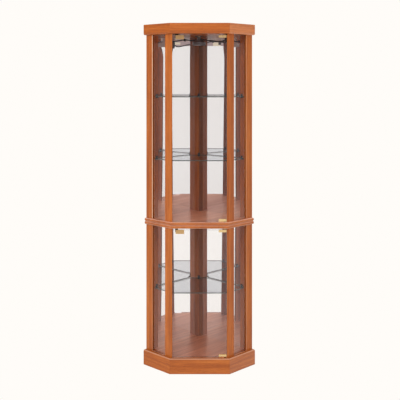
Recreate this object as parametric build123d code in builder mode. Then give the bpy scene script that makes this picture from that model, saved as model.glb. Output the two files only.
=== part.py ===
from build123d import *
import os
from math import pi, radians, sqrt, tan

# A lit corner display cabinet in two glazed sections, in millimetres.
# The plan is a square set in the corner of a room with its front corner cut off:
# the door faces -Y, two glazed sides run back at 45 degrees, and two mirrored
# backs at 45 degrees meet at the rear corner. Z is up, from the floor.

# Plan of the plinth and of the crown, which are the widest parts
overall_width = 560.0
front_width = 292.0

# Heights, from the floor up
plinth_height = 74.0
lower_bay_height = 630.0
deck_thickness = 16.0
upper_bay_height = 919.0
crown_height = 52.0

# Plinth and crown
band_thickness = 18.0
band_edge_radius = 8.0
back_board_thickness = 15.0
floor_thickness = 15.0
ceiling_thickness = 15.0
cover_thickness = 9.0
corner_block_size = 30.0
deck_inset = 7.5
deck_nose_radius = 7.4

# Posts
stile_width = 45.0
stile_thickness = 18.0
door_opening_width = 268.0
back_leg_width = 58.0
mirror_setback = 22.0
mirror_lip = 4.0
rear_post_reach = 33.0
rear_nose_radius = 4.0
post_edge_radius = 1.5

# Glass, mirrors and back panels
side_glass_thickness = 4.0
mirror_thickness = 3.0
back_panel_thickness = 3.0
groove_depth = 7.0
groove_play = 0.2
groove_end_play = 0.8
pane_top_play = 0.5

# Shelves, by the height of their undersides above the floor of their bay
lower_shelf_height = 308.0
upper_shelf_low_height = 295.0
upper_shelf_high_height = 608.0
shelf_thickness = 5.0
shelf_front_depth = 36.0
shelf_play = 2.5
shelf_corner_radius = 4.0

# Shelf pins: a six-sided shank in the post, a plate against it and a tongue under the glass
pin_diameter = 5.0
pin_depth = 9.0
tongue_width = 12.0
tongue_length = 9.0
tongue_thickness = 3.0
pin_plate_drop = 5.0
pin_plate_rise = 10.0
pin_plate_thickness = 2.0
front_pin_place = 27.0
pin_corner_gap = 0.6
pin_end_inset = 10.5

# Doors
door_thickness = 5.0
door_recess = 3.0
door_side_gap = 2.5
door_bottom_gap = 2.6
door_top_gap = 7.5
door_corner_radius = 3.0

# Pivot hinges: a folded clip on each right-hand corner of the door glass
clip_length = 38.0
clip_height = 12.5
clip_wall = 1.4
clip_edge_radius = 0.9
pivot_inset = 7.0
pivot_diameter = 4.0
pivot_play = 0.05
pivot_engagement = 7.0
bush_diameter = 8.0
bush_depth = 8.0
bush_flange_diameter = 12.0
bush_flange_thickness = 0.8

# Touch latches: a sprung magnetic plunger behind a plate clipped on the glass
strike_width = 41.5
strike_height = 20.0
strike_wall = 1.0
strike_offset = 35.0
latch_offset = 19.0
latch_width = 14.0
latch_length = 40.0
latch_height = 21.0
latch_ear = 9.0
latch_ear_thickness = 2.5
latch_ear_length = 16.0
latch_edge_radius = 2.0
latch_nose_gap = 4.6
plunger_diameter = 6.5
plunger_play = 0.1
plunger_length = 26.0
plunger_travel = 3.0
latch_spring_room = 6.0
plunger_centre_drop = 13.5
contact_gap = 0.3

# Lamp under the ceiling
lamp_depth = 200.0
canopy_diameter = 42.0
canopy_thickness = 4.0
neck_diameter = 20.0
lamp_drop = 24.0
lamp_diameter = 66.0
lamp_height = 24.0
lamp_wall = 2.0
lens_thickness = 3.0
lamp_shoulder = 12.0
lamp_shoulder_drop = 8.0
lens_recess = 1.0
lead_diameter = 6.5
bend_share = 0.45

# Slim switch beside the right front post
switch_width = 8.2
switch_depth = 12.0
switch_height = 42.0
switch_front_depth = 34.6
rocker_width = 6.0
rocker_height = 15.0
rocker_thickness = 4.4
rocker_play = 0.3
rocker_tilt = 7.0
rocker_pivot_inset = 1.6
rocker_proud = 1.0
rocker_dip = 0.8
rocker_edge_reach = 0.8
rocker_pocket_depth = 5.0
switch_edge_chamfer = 0.8

# Lead passage through the left mirror
grommet_diameter = 11.0
grommet_flange_diameter = 15.0
grommet_flange_thickness = 1.5
passage_x = 74.0
passage_drop = 15.0
lead_tail = 6.0

# Where the lead from the lamp comes down to the switch, below the ceiling
switch_lead_drop = 23.0

# Where the leads leave the neck of the lamp, below the ceiling
neck_lead_drop = 18.0

# Levels that follow from the heights
overall_depth = overall_width - front_width / 2
lower_floor = plinth_height
lower_ceiling = lower_floor + lower_bay_height
deck_joint = lower_ceiling + deck_thickness
upper_floor = deck_joint + deck_thickness
upper_ceiling = upper_floor + upper_bay_height
overall_height = upper_ceiling + crown_height

# Shelves of each section, with the heights of their undersides
lower_shelves = {"shelf": lower_shelf_height}
upper_shelves = {"shelf_low": upper_shelf_low_height, "shelf_high": upper_shelf_high_height}
shelf_undersides = [
    lower_floor + lower_shelf_height,
    upper_floor + upper_shelf_low_height,
    upper_floor + upper_shelf_high_height,
]

# Distances in plan that follow from the widths
diagonal = sqrt(2)
back_leg_thickness = mirror_setback + mirror_lip
rear_post_size = mirror_setback + rear_post_reach
groove_width = mirror_thickness + back_panel_thickness + 2 * groove_play
jamb_x = door_opening_width / 2
door_half_width = jamb_x - door_side_gap
door_front_depth = band_thickness + door_recess
door_middle_depth = door_front_depth + door_thickness / 2
door_back_depth = door_front_depth + door_thickness
pivot_x = door_half_width - pivot_inset
nose_depth = overall_depth - rear_post_size * diagonal + rear_nose_radius * (diagonal - 1)


def plan_point(x, depth):
    """A point of the plan, its depth measured back from the front of the plinth."""
    return (x, depth - overall_depth / 2)


def front_corner(inset):
    """Right front corner of the plan, moved in from the front and side faces."""
    return plan_point(front_width / 2 - inset * (diagonal - 1), inset)


def outer_corner(inset, back_inset=0.0):
    """Right outer corner of the plan, moved in from the side and back faces."""
    side_line = front_width / 2 - inset * diagonal
    back_line = overall_depth - back_inset * diagonal
    return plan_point((back_line + side_line) / 2, (back_line - side_line) / 2)


def rear_corner(back_inset=0.0):
    """Rear corner of the plan, moved in from both back faces."""
    return plan_point(0, overall_depth - back_inset * diagonal)


def both_sides(right_points):
    """Closes a half outline, given from front to rear, with its mirror image."""
    left_points = [(-x, y) for x, y in reversed(right_points) if x > 0.001]
    return right_points + left_points


body_corner = front_corner(band_thickness)
body_side_length = (outer_corner(band_thickness)[0] - body_corner[0]) * diagonal
body_back_length = outer_corner(band_thickness)[0] * diagonal

# Each wall has a plane of its own: X runs along the wall, Y into the cabinet, Z up
side_wall = Plane(origin=(*body_corner, 0), x_dir=(1, 1, 0), z_dir=(0, 0, 1))
back_wall = Plane(origin=(*outer_corner(band_thickness), 0), x_dir=(-1, 1, 0), z_dir=(0, 0, 1))
rear_angle = Plane(origin=(*rear_corner(), 0), x_dir=(-1, -1, 0), z_dir=(0, 0, 1))

plate_top = shelf_thickness + pin_plate_rise
mirror_face = mirror_setback - groove_play
pivot_place = plan_point(pivot_x, door_middle_depth)
lamp_place = plan_point(0, lamp_depth)
passage_depth = overall_depth - mirror_face * diagonal - passage_x
passage_mouth = (*plan_point(-passage_x, passage_depth), upper_ceiling - passage_drop)
passage_plane = Plane(origin=passage_mouth, z_dir=(-1, 1, 0))


def finish(piece, name):
    """Labels a finished piece and writes it to its own file."""
    piece.part.label = name
    export_step(piece.part, f"parts/{name}.step")


def finish_pair(right_piece, name):
    """Writes a right-hand piece and its mirror image on the left."""
    with BuildPart() as left_piece:
        mirror(right_piece.part, about=Plane.YZ)
    finish(right_piece, f"{name}_right")
    finish(left_piece, f"{name}_left")


def prism(points, bottom, height, plane=Plane.XY):
    """A straight board cut to an outline given in the plane's own X and Y."""
    with BuildPart() as piece:
        with BuildSketch(plane.offset(bottom)):
            with BuildLine():
                Polyline(*points, close=True)
            make_face()
        extrude(amount=height)
    return piece


def round_bars(places, diameter, bottom, height):
    """Upright round bars of one size, used as pegs and to cut round holes."""
    with BuildPart() as bars:
        with BuildSketch(Plane.XY.offset(bottom)):
            with Locations(*places):
                Circle(diameter / 2)
        extrude(amount=height)
    return bars


def front_edges(piece, level):
    """Edges at one level that face the room: all but those along the backs."""
    at_level = piece.edges().filter_by_position(Axis.Z, level - 0.01, level + 0.01)
    return at_level.filter_by_position(Axis.Y, -overall_depth, outer_corner(0)[1] - 1)


# Plinth and crown: mitred boards round a floor or ceiling board


def band_front(bottom, height, rounded_level):
    """Front board of the plinth or crown, mitred at both ends."""
    outline = [front_corner(0), front_corner(band_thickness)]
    board = prism(both_sides(outline), bottom, height)
    with BuildPart() as piece:
        add(board.part)
        face_edges = piece.edges().filter_by(Axis.X).group_by(Axis.Y)[0]
        fillet(face_edges.filter_by_position(Axis.Z, rounded_level - 1, rounded_level + 1), band_edge_radius)
    return piece


def band_side(bottom, height, rounded_level):
    """Right side board, mitred in front and square at the back."""
    outline = [front_corner(0), outer_corner(0), outer_corner(band_thickness), front_corner(band_thickness)]
    board = prism(outline, bottom, height)
    with BuildPart() as piece:
        add(board.part)
        level_edges = piece.edges().filter_by_position(Axis.Z, rounded_level - 1, rounded_level + 1)
        fillet(level_edges.sort_by(Edge.length)[-1], band_edge_radius)
    return piece


def band_back(bottom, height):
    """Right back board, between the side board and the mitre at the rear corner."""
    outline = [
        outer_corner(band_thickness),
        rear_corner(),
        rear_corner(back_board_thickness),
        outer_corner(band_thickness, back_board_thickness),
    ]
    return prism(outline, bottom, height)


def inner_board(bottom, thickness):
    """A board that fills the plinth or crown and runs out to the backs."""
    half = [front_corner(band_thickness), outer_corner(band_thickness), rear_corner()]
    return prism(both_sides(half), bottom, thickness)


def bush_seat(level, direction):
    """Hole for a hinge bush, down or up into a board from its face."""
    bottom = level if direction > 0 else level - bush_depth
    return round_bars([pivot_place], bush_diameter, bottom, bush_depth)


def build_plinth():
    finish(band_front(0, plinth_height, plinth_height), "plinth_front")
    finish_pair(band_side(0, plinth_height, plinth_height), "plinth")
    finish_pair(band_back(0, plinth_height - floor_thickness), "plinth_back")

    floor_board = inner_board(plinth_height - floor_thickness, floor_thickness)
    seat = bush_seat(lower_floor, -1)
    with BuildPart() as base_floor:
        add(floor_board.part)
        add(seat.part, mode=Mode.SUBTRACT)
    finish(base_floor, "base_floor")

    # Triangular glue blocks under the floor board, in the corners of the plinth
    leg = corner_block_size / diagonal
    front_x, front_y = front_corner(band_thickness)
    side_x, side_y = outer_corner(band_thickness, back_board_thickness)
    rear_y = rear_corner(back_board_thickness)[1]
    front_block = [
        (front_x, front_y),
        (front_x + leg, front_y + leg),
        (front_x - corner_block_size, front_y),
    ]
    side_block = [(side_x, side_y), (side_x - leg, side_y - leg), (side_x - leg, side_y + leg)]
    rear_block = [(0, rear_y), (leg, rear_y - leg), (-leg, rear_y - leg)]
    with BuildPart() as base_corner_blocks:
        with BuildSketch(Plane.XY):
            for block in (front_block, side_block):
                with BuildLine():
                    Polyline(*block, close=True)
                make_face()
            mirror(about=Plane.YZ)
            with BuildLine():
                Polyline(*rear_block, close=True)
            make_face()
        extrude(amount=plinth_height - floor_thickness)
    finish(base_corner_blocks, "base_corner_blocks")


def build_crown():
    finish(band_front(upper_ceiling, crown_height, upper_ceiling), "fascia_front")
    finish_pair(band_side(upper_ceiling, crown_height, upper_ceiling), "fascia")
    back_height = crown_height - ceiling_thickness - cover_thickness
    finish_pair(band_back(upper_ceiling + ceiling_thickness, back_height), "fascia_back")
    finish(inner_board(overall_height - cover_thickness, cover_thickness), "top_cover")

    ceiling = inner_board(upper_ceiling, ceiling_thickness)
    seat = bush_seat(upper_ceiling, 1)
    with BuildPart() as ceiling_board:
        add(ceiling.part)
        add(seat.part, mode=Mode.SUBTRACT)
    finish(ceiling_board, "ceiling_board")


# Decks between the two sections


def deck(bottom, seat):
    """A deck board with a rounded nose along the front and the sides."""
    half = [front_corner(deck_inset), outer_corner(deck_inset), rear_corner()]
    board = prism(both_sides(half), bottom, deck_thickness)
    with BuildPart() as piece:
        add(board.part)
        noses = front_edges(piece, bottom) + front_edges(piece, bottom + deck_thickness)
        fillet(noses, deck_nose_radius)
        add(seat.part, mode=Mode.SUBTRACT)
    return piece


def build_decks():
    finish(deck(lower_ceiling, bush_seat(lower_ceiling, 1)), "lower_top_board")
    finish(deck(deck_joint, bush_seat(upper_floor, -1)), "upper_floor_board")


# Posts, panes and backs of one section


def glass_groove(floor, height, along):
    """Groove for the side glass in the edge of a stile, on the right side wall."""
    with BuildPart() as groove:
        with BuildSketch(side_wall.offset(floor)):
            with Locations((along, stile_thickness / 2)):
                Rectangle(2 * groove_depth, side_glass_thickness + 2 * groove_play)
        extrude(amount=height)
    return groove


def front_post(floor, height):
    """Right front post: a stile of the side with its front edge cut square to the door."""
    step = (body_corner[0] - jamb_x) / diagonal
    section = [
        (0, 0),
        (stile_width, 0),
        (stile_width, stile_thickness),
        (stile_thickness - 2 * step, stile_thickness),
        (-step, step),
    ]
    blank = prism(section, floor, height, side_wall)
    groove = glass_groove(floor, height, stile_width)
    with BuildPart() as piece:
        add(blank.part)
        fillet(piece.edges().filter_by(Axis.Z), post_edge_radius)
        add(groove.part, mode=Mode.SUBTRACT)
    return piece


def outer_post(floor, height):
    """Right outer post: one leg holds the side glass and the other the mirror."""
    start = body_side_length - stile_width
    end = body_side_length
    section = [
        (start, 0),
        (end, 0),
        (end, back_leg_width),
        (end - back_leg_thickness, back_leg_width),
        (end - back_leg_thickness, stile_thickness),
        (start, stile_thickness),
    ]
    blank = prism(section, floor, height, side_wall)
    groove = glass_groove(floor, height, start)
    with BuildPart() as mirror_groove:
        with BuildSketch(side_wall.offset(floor)):
            with Locations((end - mirror_setback + groove_width / 2, back_leg_width)):
                Rectangle(groove_width, 2 * groove_depth)
        extrude(amount=height)
    inner_corner = side_wall.from_local_coords((end - back_leg_thickness, stile_thickness, floor))
    with BuildPart() as piece:
        add(blank.part)
        fillet(piece.edges().filter_by(Axis.Z).sort_by_distance(inner_corner)[1:], post_edge_radius)
        add(groove.part, mode=Mode.SUBTRACT)
        add(mirror_groove.part, mode=Mode.SUBTRACT)
    return piece


def rear_post(floor, height):
    """Square rear post with a rounded front edge and a groove for each mirror."""
    size = rear_post_size
    groove_middle = mirror_setback - groove_width / 2
    blank = prism([(0, 0), (size, 0), (size, size), (0, size)], floor, height, rear_angle)
    with BuildPart() as grooves:
        with BuildSketch(rear_angle.offset(floor)):
            with Locations((groove_middle, size)):
                Rectangle(groove_width, 2 * groove_depth)
            with Locations((size, groove_middle)):
                Rectangle(2 * groove_depth, groove_width)
        extrude(amount=height)
    with BuildPart() as piece:
        add(blank.part)
        fillet(piece.edges().filter_by(Axis.Z).sort_by(Axis.Y)[0], rear_nose_radius)
        fillet(piece.edges().filter_by(Axis.Z).sort_by(Axis.Y)[-1], post_edge_radius)
        add(grooves.part, mode=Mode.SUBTRACT)
    return piece


def side_pane(floor, height):
    """Right side glass, from groove to groove."""
    reach = groove_depth - groove_end_play
    start = stile_width - reach
    end = body_side_length - stile_width + reach
    near = (stile_thickness - side_glass_thickness) / 2
    far = near + side_glass_thickness
    section = [(start, near), (end, near), (end, far), (start, far)]
    return prism(section, floor, height - pane_top_play, side_wall)


def back_pane(floor, height, thickness, face):
    """Right mirror or back panel, its front face at a given distance from the back."""
    reach = groove_depth - groove_end_play
    start = back_leg_width - reach
    end = body_back_length - rear_post_size + reach
    section = [(start, face - thickness), (end, face - thickness), (end, face), (start, face)]
    return prism(section, floor, height - pane_top_play, back_wall)


def finish_backs(section_name, mirror_pane, panel, passage=None):
    """Writes a mirror and its back panel on both sides, the left ones with the lead's hole."""
    for pane, pane_name in ((mirror_pane, "mirror"), (panel, "back_panel")):
        finish(pane, f"{section_name}_{pane_name}_right")
        with BuildPart() as left_pane:
            mirror(pane.part, about=Plane.YZ)
            if passage:
                add(passage.part, mode=Mode.SUBTRACT)
        finish(left_pane, f"{section_name}_{pane_name}_left")


def glass_shelf(bottom):
    """A shelf with its rear tip cut straight in front of the rear post."""
    side_inset = band_thickness + stile_thickness + shelf_play
    back_inset = back_leg_thickness + shelf_play
    tip_depth = nose_depth - shelf_play
    half = [
        plan_point(front_width / 2 - side_inset * diagonal + shelf_front_depth, shelf_front_depth),
        outer_corner(side_inset, back_inset),
        plan_point(overall_depth - back_inset * diagonal - tip_depth, tip_depth),
    ]
    blank = prism(both_sides(half), bottom, shelf_thickness)
    with BuildPart() as piece:
        add(blank.part)
        fillet(piece.edges().filter_by(Axis.Z), shelf_corner_radius)
    return piece


def pin_planes():
    """Plan frames of a shelf's pins on the right and at the rear: X points out of the post."""
    front_pin = side_wall.from_local_coords((front_pin_place, stile_thickness, 0))
    side_pin_place = body_side_length - back_leg_thickness - tongue_width / 2 - pin_corner_gap
    side_pin = side_wall.from_local_coords((side_pin_place, stile_thickness, 0))
    back_pin = back_wall.from_local_coords((back_leg_width - pin_end_inset, back_leg_thickness, 0))
    rear_pin = plan_point(0, nose_depth)
    return [
        Plane(origin=front_pin, x_dir=side_wall.y_dir, z_dir=(0, 0, 1)),
        Plane(origin=side_pin, x_dir=side_wall.y_dir, z_dir=(0, 0, 1)),
        Plane(origin=back_pin, x_dir=back_wall.y_dir, z_dir=(0, 0, 1)),
        Plane(origin=(*rear_pin, 0), x_dir=(0, -1, 0), z_dir=(0, 0, 1)),
    ]


def pin_shanks(undersides):
    """Six-sided shanks of the right and rear pins, which also cut their holes in the posts."""
    with BuildPart() as shanks:
        for underside in undersides:
            middle = Vector(0, 0, underside + (plate_top - pin_plate_drop) / 2)
            for place in pin_planes():
                with BuildSketch(Plane(origin=place.origin + middle, z_dir=-place.x_dir)):
                    RegularPolygon(pin_diameter / 2, 6)
                extrude(amount=pin_depth)
    return shanks


def pin_tongues(undersides, places):
    """Angle plates of the pins: a tongue under the glass and a plate against the post."""
    outline = [
        (0, plate_top),
        (pin_plate_thickness, plate_top),
        (pin_plate_thickness, 0),
        (tongue_length, 0),
        (tongue_length, -tongue_thickness),
        (pin_plate_thickness, -pin_plate_drop),
        (0, -pin_plate_drop),
    ]
    with BuildPart() as tongues:
        for underside in undersides:
            for place in places:
                level = place.origin + Vector(0, 0, underside)
                with BuildSketch(Plane(origin=level, x_dir=place.x_dir, z_dir=-place.y_dir)):
                    with BuildLine():
                        Polyline(*outline, close=True)
                    make_face()
                extrude(amount=tongue_width / 2, both=True)
    return tongues


def build_pins(undersides):
    """All shelf pins: the right ones, their mirror images and those on the rear posts."""
    *right_places, rear_place = pin_planes()
    right_tongues = pin_tongues(undersides, right_places)
    rear_tongues = pin_tongues(undersides, [rear_place])
    shanks = pin_shanks(undersides)
    with BuildPart() as shelf_pins:
        add(right_tongues.part)
        mirror(right_tongues.part, about=Plane.YZ)
        add(rear_tongues.part)
        add(shanks.part)
        mirror(shanks.part, about=Plane.YZ)
    finish(shelf_pins, "shelf_pins")


def build_section(section, floor, height, shelf_heights, passage=None):
    """Posts, panes, backs and shelves of the lower or the upper section."""
    holes = pin_shanks([floor + shelf_height for shelf_height in shelf_heights.values()])
    blanks = {"front_post": front_post(floor, height), "outer_post": outer_post(floor, height)}
    for post_name, blank in blanks.items():
        with BuildPart() as post:
            add(blank.part)
            add(holes.part, mode=Mode.SUBTRACT)
        finish_pair(post, f"{section}_{post_name}")
    rear_blank = rear_post(floor, height)
    with BuildPart() as rear:
        add(rear_blank.part)
        add(holes.part, mode=Mode.SUBTRACT)
    finish(rear, f"{section}_rear_post")

    finish_pair(side_pane(floor, height), f"{section}_side_glass")
    mirror_pane = back_pane(floor, height, mirror_thickness, mirror_face)
    panel = back_pane(floor, height, back_panel_thickness, mirror_face - mirror_thickness)
    finish_backs(section, mirror_pane, panel, passage)
    for shelf_name, shelf_height in shelf_heights.items():
        finish(glass_shelf(floor + shelf_height), f"{section}_{shelf_name}")


# Doors, their pivot hinges and touch latches


def block(left, right, near, far, bottom, top):
    """A rectangular block between given x, depths and heights."""
    outline = [plan_point(left, near), plan_point(right, near), plan_point(right, far), plan_point(left, far)]
    return prism(outline, bottom, top - bottom)


def door_pane(bottom, top):
    """Frameless door glass with eased corners."""
    blank = block(-door_half_width, door_half_width, door_front_depth, door_back_depth, bottom, top)
    with BuildPart() as pane:
        add(blank.part)
        fillet(pane.edges().filter_by(Axis.Y), door_corner_radius)
    return pane


def glass_clip(left, right, edge_level, outward, height, wall):
    """A plate folded over the bottom or top edge of the door glass."""
    crown = edge_level + outward * wall
    skirt = crown - outward * height
    low, high = sorted((crown, skirt))
    shell = block(left, right, door_front_depth - wall, door_back_depth + wall, low, high)
    low, high = sorted((edge_level, skirt))
    slot = block(left, right, door_front_depth, door_back_depth, low, high)
    with BuildPart() as clip:
        add(shell.part)
        folds = clip.edges().filter_by(Axis.X).filter_by_position(Axis.Z, crown - 0.01, crown + 0.01)
        fillet(folds, clip_edge_radius)
        add(slot.part, mode=Mode.SUBTRACT)
    return clip


def build_hinges(section, floor, ceiling):
    """Two pivot clips on the right corners of a door, each with its pin."""
    left = door_half_width - clip_length
    bottom_edge = floor + door_bottom_gap
    top_edge = ceiling - door_top_gap
    bottom_clip = glass_clip(left, door_half_width, bottom_edge, -1, clip_height, clip_wall)
    top_clip = glass_clip(left, door_half_width, top_edge, 1, clip_height, clip_wall)
    pin_reach = pivot_engagement + door_bottom_gap - clip_wall
    bottom_pin = round_bars([pivot_place], pivot_diameter, floor - pivot_engagement, pin_reach)
    pin_reach = pivot_engagement + door_top_gap - clip_wall
    top_pin = round_bars([pivot_place], pivot_diameter, top_edge + clip_wall, pin_reach)
    with BuildPart() as hinges:
        for piece in (bottom_clip, bottom_pin, top_clip, top_pin):
            add(piece.part)
    finish(hinges, f"{section}_door_hinges")


def bush(level, direction):
    """Flanged bush for a hinge pin, set down or up into a board from its face."""
    low, high = sorted((level - direction * bush_flange_thickness, level + direction * bush_depth))
    body = round_bars([pivot_place], bush_diameter, low, high - low)
    flange_bottom = min(level, level - direction * bush_flange_thickness)
    flange = round_bars([pivot_place], bush_flange_diameter, flange_bottom, bush_flange_thickness)
    bore = round_bars([pivot_place], pivot_diameter + 2 * pivot_play, low, high - low)
    with BuildPart() as piece:
        add(body.part)
        add(flange.part)
        add(bore.part, mode=Mode.SUBTRACT)
    return piece


def build_bushes():
    seats = ((lower_floor, -1), (lower_ceiling, 1), (upper_floor, -1), (upper_ceiling, 1))
    bushes = [bush(level, direction) for level, direction in seats]
    with BuildPart() as hinge_bushes:
        for piece in bushes:
            add(piece.part)
    finish(hinge_bushes, "hinge_bushes")


def build_latch(section, ceiling):
    """Strike plate on the glass, and behind it the latch body with its plunger."""
    middle = strike_offset - door_half_width
    top_edge = ceiling - door_top_gap
    half_strike = strike_width / 2
    strike = glass_clip(middle - half_strike, middle + half_strike, top_edge, 1, strike_height, strike_wall)
    finish(strike, f"{section}_strike_plate")

    middle = latch_offset - door_half_width
    plunger_face = door_back_depth + strike_wall + contact_gap
    body_face = plunger_face + latch_nose_gap
    bore_length = plunger_length - latch_nose_gap + plunger_travel + latch_spring_room
    half_width = latch_width / 2
    case = block(middle - half_width, middle + half_width, body_face, body_face + latch_length,
                 ceiling - latch_height, ceiling)
    ear_front = body_face + (latch_length - latch_ear_length) / 2
    ears = block(middle - half_width - latch_ear, middle + half_width + latch_ear, ear_front,
                 ear_front + latch_ear_length, ceiling - latch_ear_thickness, ceiling)
    axis_level = ceiling - plunger_centre_drop
    bore_face = Plane(origin=(*plan_point(middle, body_face), axis_level), z_dir=(0, 1, 0))
    with BuildPart() as latch_body:
        add(case.part)
        fillet(latch_body.edges().filter_by(Axis.Y).group_by(Axis.Z)[0], latch_edge_radius)
        add(ears.part)
        with BuildSketch(bore_face):
            Circle(plunger_diameter / 2 + plunger_play)
        extrude(amount=bore_length, mode=Mode.SUBTRACT)
    finish(latch_body, f"{section}_latch_body")

    nose = Plane(origin=(*plan_point(middle, plunger_face), axis_level), z_dir=(0, 1, 0))
    with BuildPart() as latch_plunger:
        with BuildSketch(nose):
            Circle(plunger_diameter / 2)
        extrude(amount=plunger_length)
    finish(latch_plunger, f"{section}_latch_plunger")


def build_door(section, floor, ceiling):
    finish(door_pane(floor + door_bottom_gap, ceiling - door_top_gap), f"{section}_door_glass")
    build_hinges(section, floor, ceiling)
    build_latch(section, ceiling)


# Lamp, switch and leads


def lead(name, points):
    """A round lead: straight runs joined by arcs, its points given as x, depth and height."""
    route = [Vector(*plan_point(x, depth), level) for x, depth, level in points]
    runs = [end - start for start, end in zip(route, route[1:])]
    radii = []
    for run, next_run in zip(runs, runs[1:]):
        half_turn = radians(run.get_angle(next_run)) / 2
        radii.append(bend_share * min(run.length, next_run.length) / tan(half_turn))
    with BuildPart() as piece:
        with BuildLine() as path:
            FilletPolyline(*route, radius=radii)
        with BuildSketch(Plane(origin=route[0], z_dir=runs[0])):
            Circle(lead_diameter / 2)
        sweep(path=path.line)
    length = sum(edge.length for edge in path.edges())
    plain_volume = pi * lead_diameter**2 / 4 * length
    print(name, "radii", [round(radius, 1) for radius in radii])
    print(name, "volume over section times length", round(piece.part.volume / plain_volume, 4))
    return piece


def lead_passage():
    """Round hole for the supply lead, square through the left mirror and its panel."""
    with BuildPart() as hole:
        with BuildSketch(passage_plane):
            Circle(grommet_diameter / 2)
        extrude(amount=mirror_thickness + back_panel_thickness)
    return hole


def build_grommet(supply_lead):
    """Flanged sleeve that holds the supply lead in the left mirror and its panel."""
    sleeve_length = mirror_thickness + back_panel_thickness
    with BuildPart() as lead_grommet:
        with BuildSketch(passage_plane):
            Circle(grommet_diameter / 2)
        extrude(amount=sleeve_length)
        with BuildSketch(passage_plane.offset(-grommet_flange_thickness)):
            Circle(grommet_flange_diameter / 2)
        extrude(amount=grommet_flange_thickness)
        add(supply_lead.part, mode=Mode.SUBTRACT)
    finish(lead_grommet, "lead_grommet")


def build_lamp(leads):
    """Turned lamp head with a sloping shoulder, on a neck, with its lens set in the mouth."""
    head_top = upper_ceiling - lamp_drop
    head_bottom = head_top - lamp_height
    canopy = round_bars([lamp_place], canopy_diameter, upper_ceiling - canopy_thickness, canopy_thickness)
    neck = round_bars([lamp_place], neck_diameter, head_top, lamp_drop)
    head_blank = round_bars([lamp_place], lamp_diameter, head_bottom, lamp_height)
    with BuildPart() as head:
        add(head_blank.part)
        top_rim = head.edges().sort_by(Axis.Z)[-1]
        crown_face = head.faces().sort_by(Axis.Z)[-1]
        chamfer(top_rim, lamp_shoulder, lamp_shoulder_drop, reference=crown_face)
    lens_diameter = lamp_diameter - 2 * lamp_wall
    hollow_height = lamp_height - lamp_shoulder_drop - lamp_wall
    hollow = round_bars([lamp_place], lens_diameter, head_bottom, hollow_height)
    with BuildPart() as lamp_housing:
        for piece in (canopy, neck, head):
            add(piece.part)
        for piece in (hollow, *leads):
            add(piece.part, mode=Mode.SUBTRACT)
    finish(lamp_housing, "lamp_housing")
    lens = round_bars([lamp_place], lens_diameter, head_bottom + lens_recess, lens_thickness)
    finish(lens, "lamp_lens")


def build_switch():
    """Slim switch box in the corner of the jamb and the ceiling, with a rocker in its side."""
    face_x = jamb_x - switch_width
    box = block(face_x, jamb_x, switch_front_depth, switch_front_depth + switch_depth,
                upper_ceiling - switch_height, upper_ceiling)
    middle_depth = switch_front_depth + switch_depth / 2
    middle_level = upper_ceiling - switch_height / 2
    half_width = rocker_width / 2 + rocker_play
    half_length = rocker_height / 2 + rocker_play
    pocket = block(face_x, face_x + rocker_pocket_depth, middle_depth - half_width, middle_depth + half_width,
                   middle_level - half_length, middle_level + half_length)
    with BuildPart() as lamp_switch:
        add(box.part)
        chamfer(lamp_switch.edges().filter_by(Axis.Z).group_by(Axis.X)[0], switch_edge_chamfer)
        add(pocket.part, mode=Mode.SUBTRACT)
    finish(lamp_switch, "lamp_switch")

    pivot = (*plan_point(face_x + rocker_pivot_inset, middle_depth), middle_level)
    end_reach = rocker_pivot_inset + rocker_proud
    back_reach = rocker_thickness - end_reach
    half_height = rocker_height / 2
    outline = [
        (-end_reach, half_height),
        (rocker_dip - end_reach, 0),
        (-end_reach, -half_height),
        (-rocker_edge_reach, -half_height),
        (back_reach, -half_height / 3),
        (back_reach, half_height / 3),
        (-rocker_edge_reach, half_height),
    ]
    tilted = Plane(origin=pivot, x_dir=Vector(1, 0, 0).rotate(Axis.Y, rocker_tilt), z_dir=(0, -1, 0))
    with BuildPart() as switch_rocker:
        with BuildSketch(tilted):
            with BuildLine():
                Polyline(*outline, close=True)
            make_face()
        extrude(amount=rocker_width / 2, both=True)
    finish(switch_rocker, "switch_rocker")


def build_lighting():
    neck_level = upper_ceiling - neck_lead_drop
    switch_middle = jamb_x - switch_width / 2
    switch_back = switch_front_depth + switch_depth
    switch_level = upper_ceiling - switch_lead_drop
    lamp_lead = lead("lamp_lead", [
        (4, lamp_depth - 3, neck_level),
        (41, lamp_depth - 32, neck_level - 6),
        (78, lamp_depth - 78, neck_level - 13),
        (113, switch_back + 45, switch_level - 12.5),
        (switch_middle, switch_back + 19.4, switch_level - 1),
        (switch_middle, switch_back, switch_level),
    ])
    passage_level = upper_ceiling - passage_drop
    sleeve_length = mirror_thickness + back_panel_thickness
    lead_end = passage_plane.origin + passage_plane.z_dir * (sleeve_length + lead_tail)
    approach = passage_plane.origin - passage_plane.z_dir * 25
    supply_lead = lead("supply_lead", [
        (-4, lamp_depth + 2, neck_level),
        (-33, lamp_depth + 40, neck_level - 6),
        (approach.X, approach.Y + overall_depth / 2, passage_level),
        (lead_end.X, lead_end.Y + overall_depth / 2, passage_level),
    ])
    finish(lamp_lead, "lamp_lead")
    finish(supply_lead, "supply_lead")
    build_lamp([lamp_lead, supply_lead])
    build_switch()
    build_grommet(supply_lead)


os.makedirs("parts", exist_ok=True)
build_plinth()
build_section("lower", lower_floor, lower_bay_height, lower_shelves)
build_door("lower", lower_floor, lower_ceiling)
build_decks()
build_section("upper", upper_floor, upper_bay_height, upper_shelves, lead_passage())
build_door("upper", upper_floor, upper_ceiling)
build_pins(shelf_undersides)
build_bushes()
build_crown()
build_lighting()
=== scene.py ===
from math import cos, pi, radians, sin

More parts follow.
